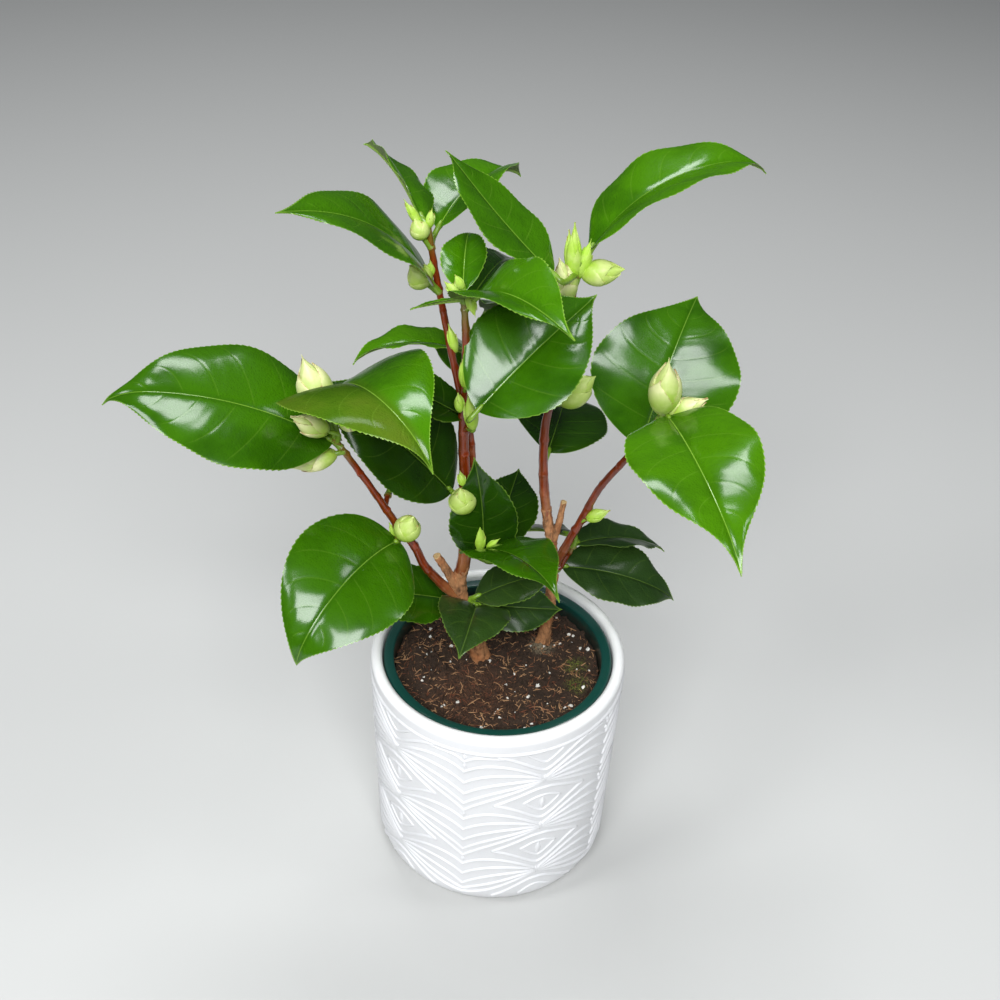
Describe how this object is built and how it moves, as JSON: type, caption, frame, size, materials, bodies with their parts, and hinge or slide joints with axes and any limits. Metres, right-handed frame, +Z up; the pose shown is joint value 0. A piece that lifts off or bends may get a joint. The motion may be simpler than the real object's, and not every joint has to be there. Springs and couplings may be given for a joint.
{
  "type": "potted camellia shrub",
  "caption": "Young camellia shrub with glossy toothed leaves and pale flower buds, in a nursery pot inside a white ceramic planter with raised leafy relief.",
  "frame": {"origin": "centre of the planter's flat underside, where the plant stands", "axes": "+Z up along the planter's axis, +X to the right and -Y towards the viewer in the picture"},
  "size_m": [0.2889, 0.2068, 0.3868],
  "materials": {
    "planter": "white satin glaze with raised leafy lines",
    "nursery_pot": "dark green satin plastic",
    "soil": "dark moist peat with fibres and perlite",
    "bark": "rough tan bark",
    "young_bark": "smooth red-brown young bark",
    "foliage": "glossy green leaves and pale buds"
  },
  "bodies": {
    "root": {"planter": "planter", "nursery_pot": "nursery_pot", "soil": "soil", "front_trunk": "bark", "back_trunk": "bark", "centre_bough": "young_bark", "left_bough": "young_bark", "upper_left_bough": "young_bark", "back_bough": "young_bark", "right_bough": "young_bark", "low_front_spray": "foliage", "low_left_spray": "foliage", "low_right_spray": "foliage", "right_shoot": "foliage", "middle_spray": "foliage", "lower_left_spray": "foliage", "inner_left_spray": "foliage", "centre_spray": "foliage", "left_spray": "foliage", "low_back_spray": "foliage", "back_spray": "foliage", "rear_left_spray": "foliage", "rear_upper_left_spray": "foliage", "rear_right_spray": "foliage", "right_spray": "foliage", "top_centre_spray": "foliage", "top_left_spray": "foliage", "top_right_spray": "foliage"}
  },
  "joints": []
}
